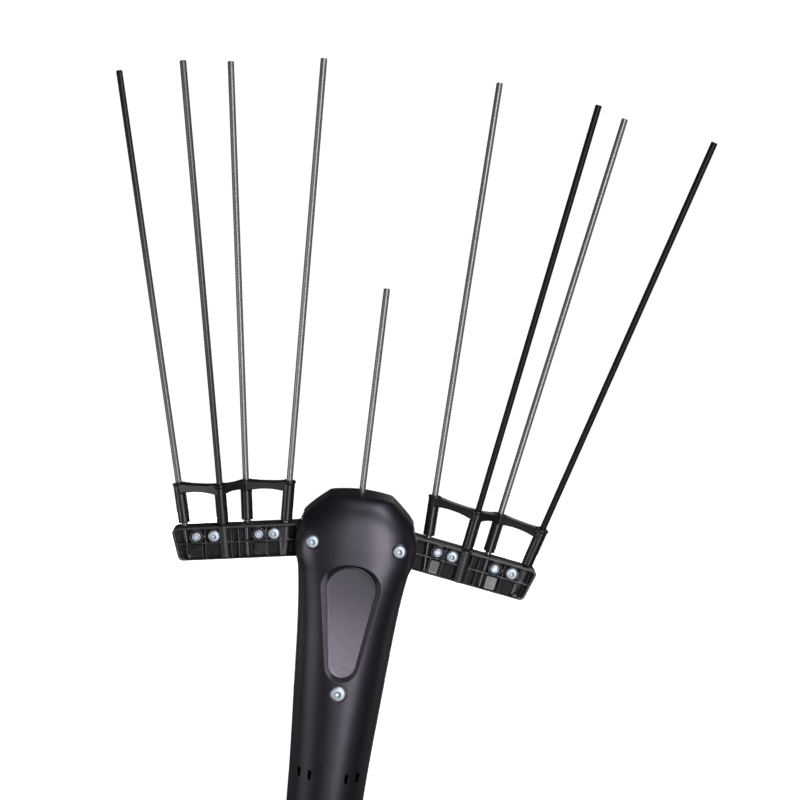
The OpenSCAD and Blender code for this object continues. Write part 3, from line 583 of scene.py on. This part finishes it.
# ------------------------------------------------------------------ badge plate, bare
def badge():
    prof = [(-31.82, -0.30), (-32.45, -0.28), (-32.70, -0.36), (-32.84, -0.55), (-32.90, -0.80), (-32.90, -1.05), (-32.84, -1.25), (-32.66, -1.42), (-32.58, -1.60), (-32.56, -2.0)]
    rings = [[(p[0], y, p[1] + H) for p in badge_line(g)] for y, g in prof]
    v, f = rings_mesh(rings)
    o = new_obj("badge_plate_bare", v, f, M["badge"])
    tidy(o)
    shade(o, 50)
    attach(o, "housing")
    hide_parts("badge_plate")


badge()

# ------------------------------------------------------------------ fasteners
SEG = 72


def circ(r, y, hexed=0.0, cap=None, turn=0.0):
    """Ring round the Y axis; hexed > 0 makes it a hexagon of that across-flats, corners limited to cap."""
    pts = []
    for i in range(SEG):
        t = 2 * math.pi * i / SEG
        q = r
        if hexed:
            q = (hexed / 2) / math.cos(((t + math.pi / 6) % (math.pi / 3)) - math.pi / 6)
            if cap:
                q = min(q, cap)
        pts.append((q * math.cos(t + turn), y, q * math.sin(t + turn)))
    return pts


def bolt_rings(rh, hh, r, length, af, turn):
    """Button head at y < 0 over a shank to y = length, with a six-sided socket."""
    out = []
    k = 10
    rs = af / math.sqrt(3) * 1.09
    rings = [circ(0.01, length, turn=turn), circ(r - 0.5, length, turn=turn), circ(r, length - 0.6, turn=turn)]
    pitch = 0.8
    y = length - 0.9
    while y > length - 7.5:
        rings += [circ(r - 0.28, y, turn=turn), circ(r, y - pitch / 2, turn=turn)]
        y -= pitch
    rings += [circ(r, 0.4, turn=turn), circ(r + 0.02, 0.0, turn=turn), circ(rh - 0.25, 0.0, turn=turn), circ(rh, -0.18, turn=turn), circ(rh, -0.18 * hh - 0.12, turn=turn)]
    y0, y1 = -0.18 * hh - 0.12, -hh
    for i in range(1, k + 1):
        t = i / k * math.pi / 2
        rings.append(circ(rs + (rh - rs) * max(0.0, math.cos(t)) ** 0.8, y0 + (y1 - y0) * math.sin(t) ** 0.8, turn=turn))
    rings += [circ(rs - 0.02, -hh - 0.01, turn=turn), circ(0, -hh + 0.28, af, turn=turn), circ(0, -0.30 * hh, af, turn=turn),
              circ(af * 0.46, -0.26 * hh, turn=turn), circ(af * 0.10, -0.08 * hh, turn=turn)]
    return rings


def place(rings, mats, name, mat, body, node_name, deg=38):
    vs, fs, n0 = [], [], 0
    for mt in mats:
        v, f = rings_mesh(rings if not callable(rings) else rings(mt[1]))
        A = np.array(mt[0])
        v = v @ A[:3, :3].T + A[:3, 3]
        vs.append(v)
        fs += [tuple(i + n0 for i in q) for q in f]
        n0 += len(v)
    o = new_obj(name, np.concatenate(vs), fs, mat)
    tidy(o)
    shade(o, deg)
    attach(o, body)
    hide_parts(node_name)
    return o


def T(x, y, z):
    return Matrix.Translation((x, y, z))


place(lambda t: bolt_rings(5.25, 3.3, 3.0, 61.6, 4.0, t), [(T(-PX, -30.3, H), 0.3), (T(PX, -30.3, H), 0.75)], "pivot_bolt_pair", M["zinc"], "housing", "pivot_bolts")
place(lambda t: bolt_rings(6.4, 3.4, 3.0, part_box("case_screw")[1].y * 1000 + 32.4, 4.4, t), [(T(0, -32.4, H - 119.2), 0.12)], "case_screw_button", M["zinc"], "housing", "case_screw")


def nut_rings(y0, y1, af, r, collar=0.0, rc=3.5, turn=0.26):
    """Hexagon nut along +Y from y0, its round locking collar facing y1."""
    ac = af / math.sqrt(3)
    yt = y1 - collar
    rings = [circ(r, y0, turn=turn), circ(af / 2 - 0.1, y0, turn=turn), circ(0, y0 + 0.35, af, ac - 0.02, turn=turn), circ(0, yt - 0.55, af, ac - 0.02, turn=turn), circ(af / 2 - 0.05, yt, turn=turn)]
    if collar:
        rings += [circ(rc, yt, turn=turn), circ(rc, y1 - 0.45, turn=turn), circ(rc - 0.14, y1 - 0.14, turn=turn), circ(rc - 0.45, y1, turn=turn), circ(r + 0.35, y1 - 0.02, turn=turn), circ(r, y1 - 0.3, turn=turn)]
    else:
        rings += [circ(r + 0.4, yt, turn=turn), circ(r, yt - 0.4, turn=turn)]
    rings.append(rings[0])
    return rings


def nuts(mats, name, body, node_name, *a, painted_shade_flats=False, **kw):
    vs, fs, n0 = [], [], 0
    for mt in mats:
        v, f = rings_mesh(nut_rings(*a, **kw), cap0=False, cap1=False)
        A = np.array(mt)
        vs.append(v @ A[:3, :3].T + A[:3, 3])
        fs += [tuple(i + n0 for i in q) for q in f]
        n0 += len(v)
    o = new_obj(name, np.concatenate(vs), fs, M["zinc"])
    if painted_shade_flats:
        # painted shade: the hex flats take a dark copy of the zinc, under a bright locking collar
        o.data.materials.append(M["zinc_shade"])
        k = SEG * 5
        per = SEG * (len(nut_rings(*a, **kw)) - 1)
        for q in o.data.polygons:
            q.material_index = 1 if q.index % per < k else 0
    tidy(o)
    shade(o, 30)
    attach(o, body)
    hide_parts(node_name)
    return o


nuts([T(-PX, 0, H), T(PX, 0, H)], "pivot_nut_pair", "housing", "pivot_nuts", 26.05, 31.0, 10.0, 3.05, collar=1.5, rc=4.4)
b0, b1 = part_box("case_nut")
nuts([T(0, 0, H - 119.2)], "case_nut_hex", "housing", "case_nut", b0.y * 1000, b1.y * 1000, 10.0, 3.05, collar=1.5, rc=4.4)

# ------------------------------------------------------------------ combs
BAR_L = Matrix.Translation((-PX, 0, H)) @ Matrix.Rotation(-DROOP, 4, "Y")
TURN = Matrix.Rotation(math.pi, 4, "Z")
SIDES = (("left", BAR_L, Matrix.Identity(4)), ("right", TURN @ BAR_L, TURN))
TN_U, TN_Y = (105.7, 71.9, 52.4, 17.0), (6.2, 7.2, 6.9, 4.4)
TN_A, TN_L, TN_S = (5.4, 0.93, -0.92, -7.65), (5.8, 5.2, 2.8, 3.1), (1, -1, 1, -1)
CB_U, CB_S, CB_V = (92.9, 78.9, 43.4, 31.4), (1, -1, 1, -1), 1.8
TOP = 43.7


def settle(me, tree, near, far):
    """Puts points that lie close to the true faces exactly on them; the rounded edges stay round and are evened along their length."""
    co = np.empty(len(me.vertices) * 3)
    me.vertices.foreach_get("co", co)
    co = co.reshape(-1, 3)
    loose = np.zeros(len(co))
    for i, c in enumerate(co):
        hit, _, _, d = tree.find_nearest(Vector(c))
        t = min(1.0, max(0.0, (far - d) / (far - near)))
        t = t * t * (3 - 2 * t)
        co[i] += (np.array(hit) - c) * t
        loose[i] = 1.0 - t
    e = np.empty(len(me.edges) * 2, dtype=np.int32)
    me.edges.foreach_get("vertices", e)
    a, b = e[0::2], e[1::2]
    count = np.maximum(np.bincount(e, minlength=len(co)), 1)[:, None]
    for _ in range(2):
        ring = loose.copy()
        np.maximum.at(ring, a, 0.75 * loose[b])
        np.maximum.at(ring, b, 0.75 * loose[a])
        loose = ring
    for _ in range(5):
        mean = np.zeros_like(co)
        np.add.at(mean, a, co[b])
        np.add.at(mean, b, co[a])
        co += 0.5 * loose[:, None] * (mean / count - co)
    me.vertices.foreach_set("co", co.ravel())
    me.update()


def ridges(me, f):
    """Half-round ridges in line with the tines of the other row, drawn smooth over the moulded ones."""
    bm = bmesh.new()
    bm.from_mesh(me)
    n = 48
    for i in range(4):
        if TN_S[i] == f:
            continue
        ta = math.tan(math.radians(TN_A[i]))
        rows = []
        for v in np.linspace(-16.3, 8.2, 12):
            x = -(TN_U[i] + (v - TOP) * ta)
            rows.append([bm.verts.new(Vector((x + 2.25 * math.cos(2 * math.pi * j / n), f * 2.6 + 2.25 * math.sin(2 * math.pi * j / n), v)) * MM) for j in range(n)])
        for a, b in zip(rows, rows[1:]):
            for j in range(n):
                bm.faces.new((a[j], a[(j + 1) % n], b[(j + 1) % n], b[j]))
        bm.faces.new(rows[0][::-1])
        bm.faces.new(rows[-1])
    bm.normal_update()
    bm.to_mesh(me)
    bm.free()


def moulded(node_name, frame_mm, voxel, ratio):
    """The node's solid with moulded radii, worked in the comb's own axes; returns a mesh in metres in those axes."""
    me = NODES[node_name].data.copy()
    inv = (Matrix.Diagonal((MM, MM, MM, 1)) @ frame_mm @ Matrix.Diagonal((1 / MM, 1 / MM, 1 / MM, 1))).inverted()
    me.transform(inv)
    o = bpy.data.objects.new("tmp_" + node_name, me)
    bpy.context.scene.collection.objects.link(o)
    tidy(o, 2e-6)
    bm = bmesh.new()
    bm.from_mesh(o.data)
    tree = BVHTree.FromBMesh(bm)
    bm.free()
    r = o.modifiers.new("r", "REMESH")
    r.mode, r.voxel_size, r.adaptivity = "VOXEL", voxel * MM, 0.0
    s = o.modifiers.new("s", "SMOOTH")
    s.factor, s.iterations = 0.5, 5
    d = o.modifiers.new("d", "DECIMATE")
    d.ratio = ratio
    bake_mods(o)
    settle(o.data, tree, 0.16 * voxel * MM, 0.55 * voxel * MM)
    if "arm" in node_name:
        ridges(o.data, -1 if "front" in node_name else 1)
    out = o.data
    bpy.data.objects.remove(o)
    out.materials.clear()
    return out


VOX = 0.38 if FINE else 0.7
parts = {k: moulded("left_" + k, BAR_L, VOX, 0.5) for k in ("arm_front", "arm_rear", "tine_bridge")}
MMF = lambda mt: Matrix.Diagonal((MM, MM, MM, 1)) @ mt @ Matrix.Diagonal((1 / MM, 1 / MM, 1 / MM, 1))
for side, fm, turn in SIDES:
    for k, src in parts.items():
        me = src.copy()
        o = bpy.data.objects.new(side + "_" + k + "_moulded", me)
        bpy.context.scene.collection.objects.link(o)
        me.materials.append(M["bridge" if k == "tine_bridge" else "comb"])
        if k != "tine_bridge":
            # the sunk webs between the ribs: a rougher finish, and a darker colour as painted shade in the pockets
            me.materials.append(M["web"])
            for q in me.polygons:
                if abs(q.normal.y) > 0.9 and 0.0020 < abs(q.center.y) < 0.0027:
                    q.material_index = 1
        o.matrix_world = MMF(fm)
        shade(o, 55)
        wn = o.modifiers.new("normals", "WEIGHTED_NORMAL")
        wn.keep_sharp, wn.weight = True, 60
        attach(o, side + "_comb")
        # the right comb is the left one turned half round, so its halves change places
        tgt = k if side == "left" or k == "tine_bridge" else {"arm_front": "arm_rear", "arm_rear": "arm_front"}[k]
        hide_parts(side + "_" + tgt)

    # tines: ground rod with a rounded tip, fibres along its length
    for i in range(4):
        ta, tl = math.tan(math.radians(TN_A[i])), math.tan(math.radians(TN_L[i]))
        L = math.sqrt(1 + ta * ta + tl * tl)
        p0 = Vector((-(TN_U[i] + (-13.5 - TOP) * ta), TN_S[i] * (TN_Y[i] + (-13.5 - TOP) * tl), -13.5))
        p1 = Vector((-(TN_U[i] + (0 - TOP) * ta), TN_S[i] * (TN_Y[i] + (0 - TOP) * tl), 0.0))
        ax = (p1 - p0).normalized()
        length = (TOP + 13.5) * L + 327.5
        q = Vector((0, 0, 1)).rotation_difference(ax).to_matrix().to_4x4()
        prof = [(0.05, 0.0), (2.1, 0.0), (2.5, 0.4)] + [(2.5, length * t) for t in (0.1, 0.3, 0.5, 0.7, 0.9)] + [(2.5, length - 0.75), (2.44, length - 0.45), (2.28, length - 0.2), (2.0, length - 0.05), (1.6, length), (0.05, length)]
        n = 40
        rings = [[(r * math.cos(2 * math.pi * j / n), r * math.sin(2 * math.pi * j / n), z) for j in range(n)] for r, z in prof]
        v, f = rings_mesh(rings)
        # some rods take lit and shaded copies of the rod material: painted light and shade
        painted_light_copy = {("right", 0): "carbon_painted_shade_all", ("right", 2): "carbon_painted_shade_all", ("left", 0): "carbon_painted_dark_tip", ("left", 1): "carbon_painted_dark_root"}.get((side, i), "carbon")
        o = new_obj(side + "_tine_rod_%d" % (i + 1), v, f, M[painted_light_copy])
        tidy(o)
        shade(o, 35)
        o.matrix_world = MMF(fm @ Matrix.Translation(p0) @ q)
        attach(o, side + "_comb")
        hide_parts(side + "_tine_%d" % (i + 1))

    # clamp bolts and lock nuts
    rot = {-1: Matrix.Identity(4), 1: Matrix.Rotation(math.pi, 4, "Z")}
    bm_ = [(fm @ T(-u, 0, CB_V) @ rot[s] @ T(0, -5.42, 0), 0.2 + 0.37 * j) for j, (u, s) in enumerate(zip(CB_U, CB_S))]
    place(lambda t: bolt_rings(4.75, 2.8, 2.5, 12.6, 3.2, t), bm_, side + "_clamp_bolt_set", M["zinc"], side + "_comb", side + "_clamp_bolts")
    nm = [fm @ T(-u, 0, CB_V) @ rot[s] for u, s in zip(CB_U, CB_S)]
    nuts(nm, side + "_clamp_nut_set", side + "_comb", side + "_clamp_nuts", 3.03, 6.9, 8.0, 2.55, collar=1.9, rc=3.5, turn=0.0, painted_shade_flats=True)

# centre tine
lo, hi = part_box("centre_tine")
z0, z1 = lo.z * 1000, hi.z * 1000
prof = [(0.05, z0), (2.1, z0), (2.5, z0 + 0.4)] + [(2.5, z0 + (z1 - z0) * t) for t in (0.2, 0.5, 0.8)] + [(2.5, z1 - 0.75), (2.44, z1 - 0.45), (2.28, z1 - 0.2), (2.0, z1 - 0.05), (1.6, z1), (0.05, z1)]
v, f = rings_mesh([[(r * math.cos(2 * math.pi * j / 40), r * math.sin(2 * math.pi * j / 40), z) for j in range(40)] for r, z in prof])
o = new_obj("centre_tine_rod", v, f, M["carbon"])
tidy(o)
shade(o, 35)
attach(o, "housing")
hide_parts("centre_tine")

# ------------------------------------------------------------------ carried-over nodes
LOOK = {
    "pivot_sleeves": "steel", "thrust_washers": "nylon", "lower_case_screws": "zinc", "gear_frame": "cast", "motor_screws": "zinc",
    "motor_can": "can", "motor_magnets": "ferrite", "motor_end_bell": "moulded", "motor_brushes": "graphite", "motor_bearings": "steel",
    "crank_axle": "steel", "guide_rods": "steel", "tine_ferrule": "moulded", "pole_socket": "socket", "clamp_collar": "moulded",
    "clamp_bolt": "zinc", "clamp_nut": "zinc", "power_connector": "nylon", "lead_plus": "red", "lead_minus": "black",
    "motor_shaft": "steel", "armature": "copper", "commutator": "copper", "drive_pinion": "steel", "crown_gear": "nylon",
    "crank_pin": "steel", "crank_roller": "bronze", "crank_bearing": "bronze", "drive_yoke": "cast", "yoke_bushes": "bronze",
    "left_pivot_bush": "bronze", "right_pivot_bush": "bronze",
}
for n, o in NODES.items():
    if o.hide_render:
        continue
    o.data.materials.clear()
    o.data.materials.append(M[LOOK[n]])
for n, w in (("pole_socket", 0.5), ("clamp_collar", 1.0), ("clamp_bolt", 0.3), ("clamp_nut", 0.25), ("lower_case_screws", 0.25), ("gear_frame", 0.3), ("motor_can", 0.4), ("motor_end_bell", 0.4)):
    o = NODES[n]
    wd = o.modifiers.new("weld", "WELD")
    wd.merge_threshold = 2e-6
    bv = o.modifiers.new("edge", "BEVEL")
    bv.width, bv.segments, bv.limit_method, bv.angle_limit = w * MM, 2, "ANGLE", math.radians(50)
    bv.use_clamp_overlap = True
    bv.harden_normals = False

# ------------------------------------------------------------------ stage, light, camera
def stage_mat(name, col, emit):
    m = bpy.data.materials.new(name)
    m.use_nodes = True
    b = m.node_tree.nodes["Principled BSDF"]
    b.inputs["Base Color"].default_value = (*col, 1)
    b.inputs["Roughness"].default_value = 0.7
    b.inputs["Specular IOR Level"].default_value = 0.2
    b.inputs["Emission Color"].default_value = (1, 1, 1, 1)
    b.inputs["Emission Strength"].default_value = emit
    return m


fl = new_obj("floor", [(-12000, -12000, -0.6), (12000, -12000, -0.6), (12000, 12000, -0.6), (-12000, 12000, -0.6)], [(0, 1, 2, 3)], stage_mat("floor_pale", (0.62, 0.62, 0.62), 0.8))
fl.visible_glossy = False
fl.visible_diffuse = False
fl.visible_shadow = False
# the sweep grows fully white away from the object
nt = fl.data.materials[0].node_tree
tc = node(nt, "ShaderNodeTexCoord")
ln = node(nt, "ShaderNodeVectorMath", operation="LENGTH")
nt.links.new(tc.outputs["Object"], ln.inputs[0])
mr = node(nt, "ShaderNodeMapRange", interpolation_type="SMOOTHSTEP")
mr.inputs["From Min"].default_value, mr.inputs["From Max"].default_value = 0.05, 0.30
mr.inputs["To Min"].default_value, mr.inputs["To Max"].default_value = 0.72, 1.0
nt.links.new(ln.outputs["Value"], mr.inputs["Value"])
nt.links.new(mr.outputs[0], nt.nodes["Principled BSDF"].inputs["Emission Strength"])

w = bpy.data.worlds.new("studio")
bpy.context.scene.world = w
w.use_nodes = True
nt = w.node_tree
bg = nt.nodes["Background"]
out = nt.nodes["World Output"]
tc = node(nt, "ShaderNodeTexCoord")
sx = node(nt, "ShaderNodeSeparateXYZ")
nt.links.new(tc.outputs["Generated"], sx.inputs[0])


def ramp(sock, f0, f1, t0, t1):
    m = node(nt, "ShaderNodeMapRange", interpolation_type="SMOOTHSTEP")
    for k, q in (("From Min", f0), ("From Max", f1), ("To Min", t0), ("To Max", t1)):
        m.inputs[k].default_value = q
    nt.links.new(sock, m.inputs["Value"])
    return m.outputs[0]


def mathn(op, a, b):
    m = node(nt, "ShaderNodeMath", operation=op)
    for i, q in enumerate((a, b)):
        if isinstance(q, (int, float)):
            m.inputs[i].default_value = q
        else:
            nt.links.new(q, m.inputs[i])
    return m.outputs[0]


# dim room, a little lighter low behind the object
low_back = mathn("MULTIPLY", mathn("MULTIPLY", ramp(sx.outputs["Y"], 0.3, 0.95, 0.0, 0.12), ramp(sx.outputs["Z"], 0.0, 0.20, 1.0, 0.0)), ramp(sx.outputs["X"], -0.15, 0.20, 0.45, 1.0))
nt.links.new(mathn("ADD", low_back, 0.035), bg.inputs["Strength"])
bg2 = node(nt, "ShaderNodeBackground")
bg2.inputs["Strength"].default_value = 1.05
bg2.inputs["Color"].default_value = (1, 1, 1, 1)
bg.inputs["Color"].default_value = (1, 1, 1, 1)
lp = node(nt, "ShaderNodeLightPath")
mix = node(nt, "ShaderNodeMixShader")
nt.links.new(lp.outputs["Is Camera Ray"], mix.inputs[0])
nt.links.new(bg.outputs[0], mix.inputs[1])
nt.links.new(bg2.outputs[0], mix.inputs[2])
nt.links.new(mix.outputs[0], out.inputs["Surface"])

AIM = Vector((0.0, 0.0, 0.30))


def area(name, az, el, dist, sx_, sy_, power, col=(1, 1, 1)):
    """Soft rectangular lamp; azimuth from the front towards +X, aimed at the head."""
    L = bpy.data.lights.new(name, "AREA")
    L.shape, L.size, L.size_y, L.energy, L.color = "RECTANGLE", sx_, sy_, power, col
    o = bpy.data.objects.new(name, L)
    bpy.context.scene.collection.objects.link(o)
    a, e = math.radians(az), math.radians(el)
    d = Vector((math.sin(a) * math.cos(e), -math.cos(a) * math.cos(e), math.sin(e)))
    o.location = AIM + d * dist
    o.rotation_mode = "QUATERNION"
    o.rotation_quaternion = d.to_track_quat("Z", "Y")
    o.visible_camera = False
    return o


area("key", 17, 7, 1.25, 0.38, 1.68, 26.5, (0.98, 0.95, 1.0))
area("key_high", 43, 64, 1.2, 0.20, 0.66, 6.0, (0.98, 0.95, 1.0))
area("left_low", -58, -14, 4.0, 2.4, 0.7, 50, (1.0, 0.97, 0.99))
area("side_right", 104, -4, 2.0, 0.9, 1.5, 3.2, (1.0, 0.98, 0.98))
area("side_left", -112, -4, 2.0, 0.9, 1.5, 3.2, (1.0, 0.98, 0.98))
area("rear_low", 180, -16, 1.3, 0.7, 0.4, 9, (1.0, 0.97, 0.94))
area("rear_rim", 167, 11, 3.0, 0.7, 0.4, 1.2, (1.0, 0.95, 0.93))

e, az, roll = math.radians(8.701), math.radians(-1.679), math.radians(7.105)
tgt, dist, f_px = Vector((20.78, 0, 413.905)), 1300.24, 1654.94
backv = Vector((math.sin(az) * math.cos(e), -math.cos(az) * math.cos(e), math.sin(e)))
C = tgt + backv * dist
rt = (-backv).cross(Vector((0, 0, 1))).normalized()
up = rt.cross(-backv)
R = rt * math.cos(roll) + up * math.sin(roll)
U = -rt * math.sin(roll) + up * math.cos(roll)
cam = bpy.data.cameras.new("camera")
cam.sensor_fit, cam.sensor_width, cam.lens = "HORIZONTAL", 36.0, f_px / 800 * 36
cam.clip_start, cam.clip_end = 0.05, 60
co = bpy.data.objects.new("camera", cam)
bpy.context.scene.collection.objects.link(co)
co.matrix_world = Matrix(((R.x, U.x, backv.x, C.x * MM), (R.y, U.y, backv.y, C.y * MM), (R.z, U.z, backv.z, C.z * MM), (0, 0, 0, 1)))
bpy.context.scene.camera = co
bpy.context.scene.view_settings.view_transform = "Standard"
bpy.context.scene.view_settings.look = "None"
